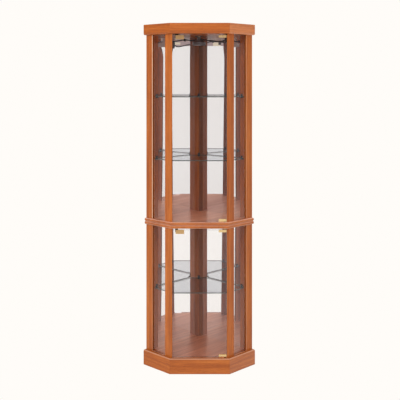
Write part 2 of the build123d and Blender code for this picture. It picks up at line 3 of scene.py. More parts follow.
import bmesh
import bpy
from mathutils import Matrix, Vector


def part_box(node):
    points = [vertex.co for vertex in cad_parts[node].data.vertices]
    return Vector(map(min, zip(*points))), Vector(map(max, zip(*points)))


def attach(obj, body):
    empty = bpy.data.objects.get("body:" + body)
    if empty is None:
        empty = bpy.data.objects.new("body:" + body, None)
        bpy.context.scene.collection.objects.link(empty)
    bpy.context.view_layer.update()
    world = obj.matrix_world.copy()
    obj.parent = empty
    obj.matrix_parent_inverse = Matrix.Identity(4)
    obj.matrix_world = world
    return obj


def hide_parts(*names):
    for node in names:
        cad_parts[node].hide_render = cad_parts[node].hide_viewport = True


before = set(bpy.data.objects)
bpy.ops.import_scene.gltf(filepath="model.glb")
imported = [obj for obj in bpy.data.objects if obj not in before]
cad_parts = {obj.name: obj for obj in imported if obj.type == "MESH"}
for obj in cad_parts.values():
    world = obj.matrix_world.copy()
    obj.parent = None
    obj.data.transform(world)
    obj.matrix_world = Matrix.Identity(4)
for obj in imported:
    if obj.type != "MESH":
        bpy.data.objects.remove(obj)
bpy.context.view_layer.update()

# Corner display cabinet: finishes, small fasteners, light and camera. Metres.

# Colours, in linear light
WOOD_DARK = (0.270, 0.055, 0.004, 1)
WOOD_MIDDLE = (0.420, 0.099, 0.007, 1)
WOOD_LIGHT = (0.580, 0.172, 0.024, 1)
# A paler copy of the stain for the right fascia board: painted light from the right
RIGHT_LIT_DARK = (0.455, 0.125, 0.029, 1)
RIGHT_LIT_MIDDLE = (0.610, 0.198, 0.056, 1)
RIGHT_LIT_LIGHT = (0.740, 0.268, 0.088, 1)
# Paler colours painted on the floors' upper faces, painted light
LIT_FLOOR_DARK = (0.480, 0.120, 0.030, 1)
LIT_FLOOR_LIGHT = (1.000, 0.400, 0.160, 1)
SHEEN_DARK = (0.820, 0.500, 0.410, 1)
SHEEN_LIGHT = (1.000, 0.720, 0.620, 1)
# Colour of painted highlights on rounded edges
EDGE_HIGHLIGHT = (0.680, 0.400, 0.270, 1)
# Colour of the painted highlight along a post's edge beside its glass
EDGE_GLINT = (1.000, 0.780, 0.600, 1)
COLUMN_PAINTED_HAZE = (0.270, 0.310, 0.300, 1)
FRONT_DARK = (0.280, 0.062, 0.010, 1)
FRONT_MIDDLE = (0.435, 0.110, 0.016, 1)
FRONT_LIGHT = (0.600, 0.188, 0.037, 1)
RAW_DARK = (0.330, 0.200, 0.100, 1)
RAW_MIDDLE = (0.480, 0.320, 0.180, 1)
RAW_LIGHT = (0.600, 0.440, 0.270, 1)
BACK_DARK = (0.110, 0.050, 0.024, 1)
BACK_MIDDLE = (0.170, 0.082, 0.040, 1)
BACK_LIGHT = (0.240, 0.125, 0.064, 1)
BRASS = (0.800, 0.580, 0.290, 1)
DULL_BRASS = (0.610, 0.390, 0.180, 1)
BLACK = (0.014, 0.011, 0.010, 1)
IMAGE_BRASS = (0.740, 0.630, 0.460, 1)
GLARE = (0.980, 0.955, 0.950, 1)
LAMP_BLACK = (0.070, 0.066, 0.070, 1)
# Glow painted over mirror images of the lamp, a painted reflection of the ceiling
CEILING_IMAGE = (0.200, 0.120, 0.100, 1)
LENS = (0.800, 0.820, 0.840, 1)
CLEAR_TINT = (0.998, 0.998, 0.998, 1)
WHITE = (1, 1, 1, 1)
PORE_SHADE = (0.66, 0.60, 0.55, 1)
DUST_HAZE_GLOW = (0.90, 0.72, 0.74, 1)
LOWER_SILVER = (0.965, 0.960, 0.955, 1)
UPPER_SILVER = (0.897, 0.890, 0.894, 1)
SHELF_TINT = (0.800, 0.822, 0.850, 1)
SOFT_TINT = (0.790, 0.735, 0.740, 1)
DOOR_SOFT_TINT = (0.930, 0.840, 0.840, 1)
WARM_CAST = (1.000, 0.820, 0.740, 1)
GLASS_EDGE = (0.050, 0.062, 0.052, 1)
BACKDROP = (1.0, 0.974, 0.939, 1)
SOFT_DAYLIGHT = (1, 0.985, 0.965, 1)
PAPER_DARK = (0.88, 0.855, 0.82, 1)
PAPER_LIGHT = (0.90, 0.875, 0.84, 1)
DIM_ROOM = (0.400, 0.300, 0.290, 1)

# Wood patterns: repeats in a metre along the grain and in both directions across it
FIGURE_SCALE = (2.4, 52, 52)
STREAK_SCALE = (9, 250, 250)
PORE_SCALE = (45, 1100, 1100)
BROAD_SCALE = (0.9, 7, 7)

# Wood patterns: what each one adds to the colour
FIGURE_SHARE = 0.42
STREAK_SHARE = 0.33
BROAD_SHARE = 0.25

# Upward part of a normal: on an upper face, where a rounded edge's painted highlight starts, where it is
# strongest, and where it turns into the flat of the face
UPPER_FACE = 0.7
EDGE_START = 0.35
EDGE_FULL = 0.75
EDGE_END = 0.97

# Painted shade on the rear post: how bright its stain stays on its left side, on its right side in the
# lower and the upper section, painted lighter in the mirrors of both, and at its top
COLUMN_LEFT_SHADE = 0.86
COLUMN_RIGHT_SHADE = (0.74, 0.53)
COLUMN_IMAGE_LIGHT = (1.20, 0.92)
COLUMN_TOP_SHADE = 0.62
# Heights between which its painted shade darkens toward the top, and how far from the joint the sections
# differ
COLUMN_SHADE_HEIGHTS = (0.9, 1.6)
JOINT_REACH = 0.01
# Share of a painted pale haze on the lower rear post, standing in for the glass's reflection
PAINTED_HAZE_SHARE = 0.12

# How pale the painted highlight along a post's glass edge is everywhere, and how much more so on the
# upper left
GLINT_SHARE = 0.25
UPPER_LEFT_GLINT_SHARE = 0.75

# Radii of edges that only look rounded: on boards, where a board's edge takes a painted highlight, on
# panes, on fittings
BOARD_ROUNDING = 0.0012
HIGHLIGHT_ROUNDING = 0.0026
PANE_ROUNDING = 0.0028
FITTING_ROUNDING = 0.0004

# Depth of the surface relief
WOOD_RELIEF = 0.0004
FITTING_RELIEF = 0.0001

GLASS_IOR = 1.5
# How much of the light gets through the lower half of a pane's edge
CLEAR_EDGE_SHARE = 0.75

# Heights between which the light at the foot of each section fades out on the glass
LOWER_FOOT = (0.15, 0.65)
UPPER_FOOT = (0.77, 0.90)

# How the mirrors' halves turn: from and to which place across, and the turn at both
LEFT_TURN = (-0.190, -0.135, -0.023, 0.0155)
RIGHT_TURN = (0.130, 0.185, 0.0, -0.0125)
LEAST_RIGHT_GROWTH = 0.8
# Heights between which the left half's turn ends
TURN_END = (1.550, 1.605)
# What the mirrors give off as soft light
SOFT_MIRROR = 0.15

# Brass below the first height, and as far as the reach about the second one, is lost in glare
LOWER_GLARE = 0.2
UPPER_GLARE = 0.79
UPPER_GLARE_REACH = 0.07

# Screws: diameter and height of the head
CLIP_SCREW = (0.0052, 0.0009)
STRIKE_SCREW = (0.0050, 0.0009)
MOUNT_SCREW = (0.0060, 0.0017)
SUNK = 0.0002

# Places of the screws, from the floor and ceiling of their section or the middle of their piece
CLIP_SCREWS_X = (0.102, 0.114)
CLIP_SCREW_ABOVE_FLOOR = 0.0085
CLIP_SCREW_BELOW_CEILING = 0.0130
STRIKE_SCREW_X = -0.0860
STRIKE_SCREW_BELOW_CEILING = 0.0205
LATCH_SCREW_REACH = 0.0115
LATCH_FLANGE = 0.0025
CANOPY_SCREW_REACH = 0.0155
CANOPY_HEIGHT = 0.0040

LEAD_RADIUS = 0.00325

# Routes of the two lamp leads, as control points of a smooth curve
LAMP_LEAD = [
    (0.0040, -0.0100, 1.6370),
    (0.0410, -0.0390, 1.6310),
    (0.0780, -0.0850, 1.6240),
    (0.1130, -0.1154, 1.6195),
    (0.1299, -0.1410, 1.6310),
    (0.1299, -0.1604, 1.6320),
]
SUPPLY_LEAD = [
    (-0.0040, -0.0050, 1.6370),
    (-0.0330, 0.0330, 1.6310),
    (-0.05632, 0.08449, 1.6400),
    (-0.08249, 0.11066, 1.6400),
]

# Grain directions: turns that bring the grain onto the X axis of the texture
GRAIN_UP = (0, radians(90), 0)
GRAIN_ALONG_FRONT = (0, 0, 0)
GRAIN_ALONG_RIGHT = (0, 0, radians(-45))
GRAIN_ALONG_LEFT = (0, 0, radians(45))


# Places from the CAD model


def underside(node):
    """The lowest height of a CAD node."""
    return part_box(node)[0].z


def top(node):
    """The greatest height of a CAD node."""
    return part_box(node)[1].z


def centre(node):
    """The middle of a CAD node's box."""
    low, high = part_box(node)
    return (low + high) / 2


# Floor and ceiling of each section, and the joint between the two sections
SECTIONS = {
    "lower": (top("base_floor"), underside("lower_top_board")),
    "upper": (top("upper_floor_board"), underside("ceiling_board")),
}
DECK_HEIGHT = top("lower_top_board")


# Node helpers


def new_material(name):
    """An empty node material with its output node."""
    material = bpy.data.materials.new(name)
    material.use_nodes = True
    tree = material.node_tree
    tree.nodes.clear()
    output = tree.nodes.new("ShaderNodeOutputMaterial")
    return material, tree, output


def add_node(tree, kind, sockets=None, **settings):
    """Adds a node, sets its properties, and links or sets its input sockets."""
    node = tree.nodes.new("ShaderNode" + kind)
    for name, value in settings.items():
        setattr(node, name, value)
    for name, value in (sockets or {}).items():
        if isinstance(value, bpy.types.NodeSocket):
            tree.links.new(value, node.inputs[name])
        else:
            node.inputs[name].default_value = value
    return node


def math_node(tree, operation, first, second=0.0, clamp=False):
    """A math node's result."""
    node = add_node(tree, "Math", {0: first, 1: second}, operation=operation, use_clamp=clamp)
    return node.outputs[0]


def plus(tree, first, second):
    """The sum of two values, each a socket or a number."""
    return math_node(tree, "ADD", first, second)


def minus(tree, first, second):
    """The first value less the second one."""
    return math_node(tree, "SUBTRACT", first, second)


def times(tree, first, second, clamp=False):
    """The product of two values, kept within 0 and 1 if it is clamped."""
    return math_node(tree, "MULTIPLY", first, second, clamp)


def larger(tree, first, second):
    """The larger one of two values."""
    return math_node(tree, "MAXIMUM", first, second)


def unsigned(tree, value):
    """A value without its sign."""
    return math_node(tree, "ABSOLUTE", value)


def is_below(tree, value, limit):
    """1 where the value is below the limit, 0 elsewhere."""
    return math_node(tree, "LESS_THAN", value, limit)


def is_above(tree, value, limit):
    """1 where the value is above the limit, 0 elsewhere."""
    return math_node(tree, "GREATER_THAN", value, limit)


def is_near(tree, value, middle, reach):
    """1 where the value is within the reach of the middle, 0 elsewhere."""
    return is_below(tree, unsigned(tree, minus(tree, value, middle)), reach)


def fade(tree, value, start, end, first=1.0, last=0.0):
    """Goes evenly from first to last as the value goes from start to end, and stays there beyond."""
    sockets = {"Value": value, "From Min": start, "From Max": end, "To Min": first, "To Max": last}
    return add_node(tree, "MapRange", sockets).outputs[0]


def parts(tree, vector):
    """A vector's X, Y and Z."""
    return add_node(tree, "SeparateXYZ", {"Vector": vector}).outputs


def dot(tree, first, second):
    """Two vectors' dot product."""
    return add_node(tree, "VectorMath", {0: first, 1: second}, operation="DOT_PRODUCT").outputs["Value"]


def geometry(tree, name):
    """One result of the geometry node."""
    return add_node(tree, "NewGeometry").outputs[name]


def ray(tree, name):
    """One result of the light path node, a ray's kind or depth."""
    return add_node(tree, "LightPath").outputs[name]


def own_place(tree):
    """A point's place in its own object."""
    return add_node(tree, "TexCoord").outputs["Object"]


def rounded(tree, radius, samples=4):
    """The normal of edges that look rounded."""
    return add_node(tree, "Bevel", {"Radius": radius}, samples=samples).outputs["Normal"]


def bump(tree, strength, distance, height, normal):
    """A normal that follows a pattern's heights."""
    sockets = {"Strength": strength, "Distance": distance, "Height": height, "Normal": normal}
    return add_node(tree, "Bump", sockets).outputs[0]


def mix_colours(tree, factor, first, second):
    """The first colour at 0, the second one at 1."""
    return add_node(tree, "Mix", {0: factor, 6: first, 7: second}, data_type="RGBA").outputs[2]


def mix_shaders(tree, factor, first, second):
    """The first shader at 0, the second one at 1."""
    return add_node(tree, "MixShader", {0: factor, 1: first, 2: second}).outputs[0]


def glow(tree, colour, strength=1.0):
    """A shader that gives off light of its own."""
    return add_node(tree, "Emission", {"Color": colour, "Strength": strength}).outputs[0]


def ramp(tree, factor, stops):
    """A colour ramp's result."""
    node = add_node(tree, "ValToRGB", {"Fac": factor})
    elements = node.color_ramp.elements
    while len(elements) < len(stops):
        elements.new(0.5)
    for element, (position, colour) in zip(elements, stops):
        element.position = position
        element.color = colour
    return node.outputs["Color"]


# Materials


def stretched(tree, place, scale):
    """Texture space drawn out along the grain, which runs along X."""
    return add_node(tree, "Mapping", {"Vector": place, "Scale": scale}).outputs[0]


def noise(tree, place, detail, rough=0.55, twist=0.0):
    """A noise texture's grey value."""
    sockets = {"Vector": place, "Scale": 1.0, "Detail": detail, "Roughness": rough, "Distortion": twist}
    return add_node(tree, "TexNoise", sockets).outputs["Fac"]


def cloud(tree, place, scale, detail):
    """A plain noise texture's grey value."""
    sockets = {"Vector": place, "Scale": scale, "Detail": detail}
    return add_node(tree, "TexNoise", sockets).outputs["Fac"]


def grain(tree, place, turn):
    """The wood's patterns along its grain: all of them mixed, the fine streaks, and the pores."""
    turned = add_node(tree, "Mapping", {"Vector": place, "Rotation": turn}).outputs[0]
    figure = noise(tree, stretched(tree, turned, FIGURE_SCALE), 5.0, 0.6, 0.35)
    streaks = noise(tree, stretched(tree, turned, STREAK_SCALE), 4.0, 0.65)
    pores = noise(tree, stretched(tree, turned, PORE_SCALE), 2.0)
    broad = noise(tree, stretched(tree, turned, BROAD_SCALE), 2.0)
    mixed = times(tree, figure, FIGURE_SHARE)
    mixed = plus(tree, mixed, times(tree, streaks, STREAK_SHARE))
    mixed = plus(tree, mixed, times(tree, broad, BROAD_SHARE))
    return mixed, streaks, pores


def shade_column(tree, stain_and_painted_light, height, facing):
    """Paints shade on the rear post's right side and its top, and a faint pale haze on its lower part, a
    painted reflection of the glass.

    The sides that only the mirrors show are painted lighter.
    """
    joint = (DECK_HEIGHT - JOINT_REACH, DECK_HEIGHT + JOINT_REACH)
    darkest = fade(tree, height, *joint, *COLUMN_RIGHT_SHADE)
    side = fade(tree, facing["X"], -0.7, 0.7, COLUMN_LEFT_SHADE, darkest)
    upper = fade(tree, height, *COLUMN_SHADE_HEIGHTS, 1.0, COLUMN_TOP_SHADE)
    mirrored = fade(tree, height, *joint, *COLUMN_IMAGE_LIGHT)
    in_mirror = times(tree, ray(tree, "Is Glossy Ray"), mirrored)
    shade = times(tree, larger(tree, side, in_mirror), upper)
    stain_and_painted_light = add_node(tree, "VectorMath", {0: stain_and_painted_light, "Scale": shade}, operation="SCALE").outputs[0]
    painted_haze = times(tree, is_below(tree, height, DECK_HEIGHT), PAINTED_HAZE_SHARE)
    return mix_colours(tree, painted_haze, stain_and_painted_light, COLUMN_PAINTED_HAZE)


def light_edges(tree, stain_and_painted_light, facing, strength, both_edges):
    """Paints a highlight on a board's rounded upper edge, or on its upper and lower ones."""
    upward = unsigned(tree, facing["Z"]) if both_edges else facing["Z"]
    lit = fade(tree, upward, EDGE_START, EDGE_FULL, 0.0, strength)
    lit = times(tree, lit, is_below(tree, upward, EDGE_END))
    return mix_colours(tree, lit, stain_and_painted_light, EDGE_HIGHLIGHT)


def paint_edge_glint(tree, stain_and_painted_light, place, facing):
    """Paints a pale highlight on the rounded front edge beside a post's glass, most of all on the upper
    left.
    """
    spot = parts(tree, place)
    on_left = is_below(tree, spot["X"], 0.0)
    on_upper = is_above(tree, spot["Z"], DECK_HEIGHT)
    glint = times(tree, times(tree, on_left, on_upper), UPPER_LEFT_GLINT_SHARE)
    glint = plus(tree, glint, GLINT_SHARE)
    glint = times(tree, glint, is_below(tree, facing["Y"], -0.80))
    return mix_colours(tree, glint, stain_and_painted_light, EDGE_GLINT)


def wood(name, turn, colours, coat=0.10, roughness=0.45, sheen=0.0, painted_glow=0.0, column=False,
         glinting=False, edge_highlight=3.0, lit_edge=0.0, joint_edge=False):
    """Stained and lacquered wood with long figure, fine streaks and pores, and painted highlights on its
    edges.

    A board's upper face can have a soft reddish sheen, a paler painted colour and a little painted glow
    of its own where too little light gets in. A column has painted shade on its right and at its top. A
    board's rounded upper edge, or with joint_edge its lower one too, has a painted highlight where it
    would catch more light. A post can have a pale painted highlight along the rounded edge beside its
    glass.
    """
    dark, middle, light = colours
    material, tree, output = new_material(name)
    place = own_place(tree)
    mixed, streaks, pores = grain(tree, place, turn)
    colour = ramp(tree, mixed, [(0.36, dark), (0.50, middle), (0.64, light)])
    pits = ramp(tree, pores, [(0.33, PORE_SHADE), (0.45, WHITE)])
    # The stain, which the steps below overlay with painted shade and painted highlights
    stain_and_painted_light = add_node(tree, "VectorMath", {0: colour, 1: pits}, operation="MULTIPLY").outputs[0]
    true_normal = geometry(tree, "True Normal")
    facing = parts(tree, true_normal)
    if column:
        stain_and_painted_light = shade_column(tree, stain_and_painted_light, parts(tree, place)["Z"], facing)
    # Floors' upper faces take a paler colour: painted light
    if sheen:
        upward = is_above(tree, facing["Z"], UPPER_FACE)
        floor = ramp(tree, mixed, [(0.38, LIT_FLOOR_DARK), (0.62, LIT_FLOOR_LIGHT)])
        stain_and_painted_light = mix_colours(tree, upward, stain_and_painted_light, floor)
    # A painted highlight where the rounded normal turns away from the face
    if edge_highlight:
        highlight_mask = minus(tree, 0.92, dot(tree, rounded(tree, HIGHLIGHT_ROUNDING, samples=6), true_normal))
        stain_and_painted_light = mix_colours(tree, times(tree, highlight_mask, edge_highlight, clamp=True), stain_and_painted_light, EDGE_HIGHLIGHT)
    if lit_edge:
        stain_and_painted_light = light_edges(tree, stain_and_painted_light, facing, lit_edge, joint_edge)
    if glinting:
        stain_and_painted_light = paint_edge_glint(tree, stain_and_painted_light, place, facing)
    rough = plus(tree, times(tree, streaks, 0.16), roughness - 0.08)
    normal = bump(tree, 0.25, WOOD_RELIEF, pores, rounded(tree, BOARD_ROUNDING))
    shader = add_node(tree, "BsdfPrincipled", {"Base Color": stain_and_painted_light, "Roughness": rough,
                                               "Specular IOR Level": 0.35, "Coat Weight": coat,
                                               "Coat Roughness": 0.16, "Normal": normal}).outputs[0]
    # A faint painted glow on upper faces, painted light where too little gets in
    if sheen:
        painted_glow_shader = glow(tree, floor, times(tree, upward, painted_glow))
        shader = add_node(tree, "AddShader", {0: shader, 1: painted_glow_shader}).outputs[0]
        reddish = ramp(tree, mixed, [(0.38, SHEEN_DARK), (0.62, SHEEN_LIGHT)])
        gloss = add_node(tree, "BsdfGlossy", {"Color": reddish, "Roughness": 0.42, "Normal": normal})
        shader = mix_shaders(tree, times(tree, upward, sheen), shader, gloss.outputs[0])
    tree.links.new(shader, output.inputs["Surface"])
    return material


def foot_light(tree):
    """1 at the foot of each section, where a pane catches the light of the floor, and 0 higher up."""
    height = parts(tree, geometry(tree, "Position"))["Z"]
    lower = fade(tree, height, *LOWER_FOOT)
    upper = fade(tree, height, *UPPER_FOOT)
    upper = times(tree, upper, is_above(tree, height, DECK_HEIGHT))
    return larger(tree, lower, upper)


def edge_mask(tree, faces):
    """0 on the broad faces of a pane, told by the object's own normals, and 1 on its narrow edges.

    It is lower on the lower half of an edge's rounding, where most light gets through.
    """
    normal = add_node(tree, "TexCoord").outputs["Normal"]
    on_edge = is_below(tree, unsigned(tree, dot(tree, normal, faces)), 0.7)
    lower_half = is_below(tree, parts(tree, rounded(tree, PANE_ROUNDING))["Z"], -0.12)
    opacity = minus(tree, 1.0, times(tree, lower_half, CLEAR_EDGE_SHARE))
    return times(tree, on_edge, opacity)


def ground_edge(tree):
    """The dark ground edge of a pane, a little uneven."""
    patches = cloud(tree, own_place(tree), 60.0, 2.0)
    rough = plus(tree, times(tree, patches, 0.2), 0.15)
    sockets = {"Base Color": GLASS_EDGE, "Roughness": rough, "Transmission Weight": 0.30,
               "IOR": GLASS_IOR}
    return add_node(tree, "BsdfPrincipled", sockets).outputs[0]


def pane_glass(name, faces, tint, mirror_share, low_share=1.0, low_cast=WARM_CAST, soft_tint=SOFT_TINT):
    """Clear float glass: a light tint, reflections that rise at a slant, and darker ground edges.

    Both faces' reflections are taken on the way in, so none is added from inside the pane.
    Soft light loses more on its way through than the eye's own rays do. At the foot of each
    section the reflections can be stronger, by low_share, and have a cast of their own.
    """
    material, tree, output = new_material(name)
    is_soft = larger(tree, ray(tree, "Is Diffuse Ray"), ray(tree, "Is Shadow Ray"))
    seen_tint = mix_colours(tree, is_soft, tint, soft_tint)
    clear = add_node(tree, "BsdfTransparent", {"Color": seen_tint}).outputs[0]
    slant = add_node(tree, "Fresnel", {"IOR": GLASS_IOR}).outputs[0]
    going_in = minus(tree, 1.0, geometry(tree, "Backfacing"))
    low = foot_light(tree)
    strength = fade(tree, low, 0.0, 1.0, mirror_share, mirror_share * low_share)
    cast = mix_colours(tree, low, WHITE, low_cast)
    gloss = add_node(tree, "BsdfGlossy", {"Color": cast, "Roughness": 0.0}).outputs[0]
    share = times(tree, times(tree, slant, going_in), strength, clamp=True)
    face = mix_shaders(tree, share, clear, gloss)
    pane = mix_shaders(tree, edge_mask(tree, faces), face, ground_edge(tree))
    tree.links.new(pane, output.inputs["Surface"])
    return material


def uneven_normal(tree, knee, lean):
    """The normal of a mirror that isn't quite flat.

    Below the knee it leans a little more and more. Each half turns a little, more so with height.
    """
    place = parts(tree, geometry(tree, "Position"))
    across, height = place["X"], place["Z"]
    below = larger(tree, minus(tree, knee, height), 0.0)
    leaning = times(tree, times(tree, below, below), -lean)
    growth = minus(tree, times(tree, height, 0.9), 0.08)
    left = times(tree, fade(tree, across, *LEFT_TURN), growth)
    right = times(tree, fade(tree, across, *RIGHT_TURN), larger(tree, growth, LEAST_RIGHT_GROWTH))
    on_right = is_above(tree, across, 0.0)
    turning = times(tree, plus(tree, left, right), fade(tree, height, *TURN_END, 1.0, on_right))
    tilt = add_node(tree, "CombineXYZ", {"Y": turning, "Z": leaning}).outputs[0]
    normal = geometry(tree, "Normal")
    bowed = add_node(tree, "VectorMath", {0: normal, 1: tilt}, operation="ADD").outputs[0]
    return add_node(tree, "VectorMath", {0: bowed}, operation="NORMALIZE").outputs[0]


def mirror_glass(name, silver, knee, lean, haziness):
    """Silvered glass with a trace of dust haze, painted as a faint glow of its own.

    To soft light it is a pale surface, so that it brightens what stands before it.
    """
    material, tree, output = new_material(name)
    normal = uneven_normal(tree, knee, lean)
    gloss = add_node(tree, "BsdfGlossy", {"Color": silver, "Roughness": 0.0, "Normal": normal})
    dust = noise(tree, stretched(tree, own_place(tree), (30, 30, 30)), 6.0, 0.7)
    # Dust patches glow faintly: painted light for the haze they would scatter
    face = mix_shaders(tree, times(tree, dust, haziness), gloss.outputs[0], glow(tree, DUST_HAZE_GLOW))
    soft = glow(tree, BACKDROP, SOFT_MIRROR)
    surface = mix_shaders(tree, ray(tree, "Is Diffuse Ray"), face, soft)
    tree.links.new(surface, output.inputs["Surface"])
    return material


def metal(name, colour, roughness):
    """Polished metal with faint brushing and finger marks.

    In an image of an image it keeps the bright room's reflection, as a glow, where a ray ends too
    soon. There the fittings at the foot of each door are lost in the glare.
    """
    material, tree, output = new_material(name)
    place = own_place(tree)
    drawn = stretched(tree, place, (40, 300, 300))
    lines = cloud(tree, drawn, 6.0, 3.0)
    marks = cloud(tree, place, 90.0, 3.0)
    rough = plus(tree, times(tree, marks, 0.18), roughness - 0.06)
    normal = bump(tree, 0.12, FITTING_RELIEF, lines, rounded(tree, FITTING_ROUNDING))
    shader = add_node(tree, "BsdfPrincipled", {"Base Color": colour, "Metallic": 1.0, "Roughness": rough,
                                               "Normal": normal}).outputs[0]
    height = parts(tree, geometry(tree, "Position"))["Z"]
    upper_foot = is_near(tree, height, UPPER_GLARE, UPPER_GLARE_REACH)
    foot = larger(tree, upper_foot, is_below(tree, height, LOWER_GLARE))
    image = glow(tree, mix_colours(tree, foot, IMAGE_BRASS, GLARE))
    is_deep = is_above(tree, ray(tree, "Glossy Depth"), 1.5)
    surface = mix_shaders(tree, is_deep, shader, image)
    tree.links.new(surface, output.inputs["Surface"])
    return material


def moulded(name, colour, roughness, grain_scale=900.0, coat=0.0, translucent=0.0, painted_image_share=0.0):
    """Moulded plastic, rubber or paint with a fine surface texture.

    In its first mirror image a share of it is painted over with a glow of the ceiling's colour, a
    painted reflection.
    """
    material, tree, output = new_material(name)
    place = own_place(tree)
    pits = cloud(tree, place, grain_scale, 2.0)
    patches = cloud(tree, place, 40.0, 3.0)
    rough = plus(tree, times(tree, patches, 0.16), roughness - 0.08)
    normal = bump(tree, 0.2, FITTING_RELIEF, pits, rounded(tree, FITTING_ROUNDING))
    shader = add_node(tree, "BsdfPrincipled", {"Base Color": colour, "Roughness": rough,
                                               "Coat Weight": coat, "Transmission Weight": translucent,
                                               "Normal": normal}).outputs[0]
    if painted_image_share:
        is_first = is_near(tree, ray(tree, "Glossy Depth"), 1.0, 0.5)
        shader = mix_shaders(tree, times(tree, is_first, painted_image_share), shader, glow(tree, CEILING_IMAGE))
    tree.links.new(shader, output.inputs["Surface"])
    return material


def give(material, *nodes):
    """Puts a material on every slot of some CAD nodes."""
    for name in nodes:
        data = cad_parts[name].data
        if not data.materials:
            data.materials.append(material)
        for index in range(len(data.materials)):
            data.materials[index] = material


def both(*stems):
    """Left and right node names."""
    return [f"{stem}_{side}" for stem in stems for side in ("left", "right")]


def finish_wood():
    """Wood, each board with its grain along its length."""
    stain = (WOOD_DARK, WOOD_MIDDLE, WOOD_LIGHT)
    front_stain = (FRONT_DARK, FRONT_MIDDLE, FRONT_LIGHT)
    right_lit_stain = (RIGHT_LIT_DARK, RIGHT_LIT_MIDDLE, RIGHT_LIT_LIGHT)
    raw = (RAW_DARK, RAW_MIDDLE, RAW_LIGHT)
    hardboard = (BACK_DARK, BACK_MIDDLE, BACK_LIGHT)
    upright = wood("wood_upright", GRAIN_UP, stain)
    outer = wood("wood_outer", GRAIN_UP, stain, glinting=True)
    column = wood("wood_column", GRAIN_UP, stain, column=True)
    across = wood("wood_across", GRAIN_ALONG_FRONT, front_stain, edge_highlight=0.0, lit_edge=0.6)
    along_right = wood("wood_along_right", GRAIN_ALONG_RIGHT, stain, coat=0.6, edge_highlight=0.0,
                       lit_edge=0.6)
    along_left = wood("wood_along_left", GRAIN_ALONG_LEFT, stain, edge_highlight=0.0, lit_edge=0.6)
    # The right fascia board is painted paler, as if lit from the right
    right_lit_board = wood("wood_right_lit", GRAIN_ALONG_RIGHT, right_lit_stain, coat=0.8, edge_highlight=0.0)
    deck = wood("wood_deck", GRAIN_ALONG_RIGHT, stain, coat=0.5, sheen=0.64, painted_glow=0.24, lit_edge=0.6,
                joint_edge=True)
    base = wood("wood_base", GRAIN_ALONG_RIGHT, stain, sheen=0.50)
    unfinished = wood("wood_raw", GRAIN_ALONG_FRONT, raw, coat=0.0, roughness=0.7, edge_highlight=0.0)
    back = wood("hardboard", GRAIN_UP, hardboard, coat=0.0, roughness=0.8, edge_highlight=0.0)
    for section in ("lower", "upper"):
        give(upright, *both(f"{section}_front_post"))
        give(outer, *both(f"{section}_outer_post"))
        give(column, f"{section}_rear_post")
        give(back, *both(f"{section}_back_panel"))
    give(across, "plinth_front", "fascia_front")
    give(right_lit_board, "fascia_right")
    give(along_right, "plinth_right", "plinth_back_left", "fascia_back_left")
    give(along_left, "plinth_left", "fascia_left", "plinth_back_right", "fascia_back_right")
    give(deck, "lower_top_board", "upper_floor_board")
    give(base, "base_floor", "ceiling_board")
    give(unfinished, "base_corner_blocks", "top_cover")


def finish_glass():
    """Glass and mirrors; each pane is given the direction of its broad faces."""
    right_faces = (0.7071, -0.7071, 0)
    left_faces = (0.7071, 0.7071, 0)
    door = pane_glass("glass_door", (0, 1, 0), CLEAR_TINT, 0.22, low_share=3.0, low_cast=WHITE,
                      soft_tint=DOOR_SOFT_TINT)
    right = pane_glass("glass_right", right_faces, CLEAR_TINT, 0.6, low_share=2.6)
    left = pane_glass("glass_left", left_faces, CLEAR_TINT, 0.6, low_share=2.6)
    shelf = pane_glass("glass_shelf", (0, 0, 1), SHELF_TINT, 0.5)
    mirrors = {
        "lower": mirror_glass("mirror_lower", LOWER_SILVER, knee=0.39, lean=0.100, haziness=0.09),
        "upper": mirror_glass("mirror_upper", UPPER_SILVER, knee=1.10, lean=0.376, haziness=0.05),
    }
    for section, mirror in mirrors.items():
        give(door, f"{section}_door_glass")
        give(right, f"{section}_side_glass_right")
        give(left, f"{section}_side_glass_left")
        give(mirror, *both(f"{section}_mirror"))
    give(shelf, "lower_shelf", "upper_shelf_low", "upper_shelf_high")


def finish_fittings():
    """Metal, plastic, paint and rubber; brass and rubber serve for the added pieces too."""
    brass = metal("brass", BRASS, 0.26)
    dull_brass = metal("dull_brass", DULL_BRASS, 0.34)
    plastic = moulded("black_plastic", BLACK, 0.5)
    shiny = moulded("black_shiny_plastic", BLACK, 0.22, coat=0.4)
    paint = moulded("black_paint", LAMP_BLACK, 0.30, grain_scale=500.0, coat=1.0, painted_image_share=0.78)
    rubber = moulded("black_rubber", BLACK, 0.6)
    lens = moulded("frosted_lens", LENS, 0.55, translucent=0.4, painted_image_share=0.78)
    for section in ("lower", "upper"):
        give(brass, f"{section}_door_hinges")
        give(dull_brass, f"{section}_strike_plate")
        give(plastic, f"{section}_latch_body", f"{section}_latch_plunger")
    give(plastic, "shelf_pins", "hinge_bushes", "lamp_switch")
    give(shiny, "switch_rocker")
    give(paint, "lamp_housing")
    give(lens, "lamp_lens")
    give(rubber, "lead_grommet")
    return brass, rubber


# Small pieces


def lay_lead(name, route, node, material):
    """A lead along a smooth curve, in place of its plain CAD tube."""
    data = bpy.data.curves.new(name, "CURVE")
    data.dimensions = "3D"
    data.bevel_depth = LEAD_RADIUS
    data.bevel_resolution = 5
    data.resolution_u = 16
    data.use_fill_caps = True
    spline = data.splines.new("NURBS")
    spline.points.add(len(route) - 1)
    for point, place in zip(spline.points, route):
        point.co = (*place, 1)
    spline.order_u = 3
    spline.use_endpoint_u = True
    data.materials.append(material)
    lead = bpy.data.objects.new(name, data)
    bpy.context.collection.objects.link(lead)
    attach(lead, "cabinet")
    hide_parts(node)


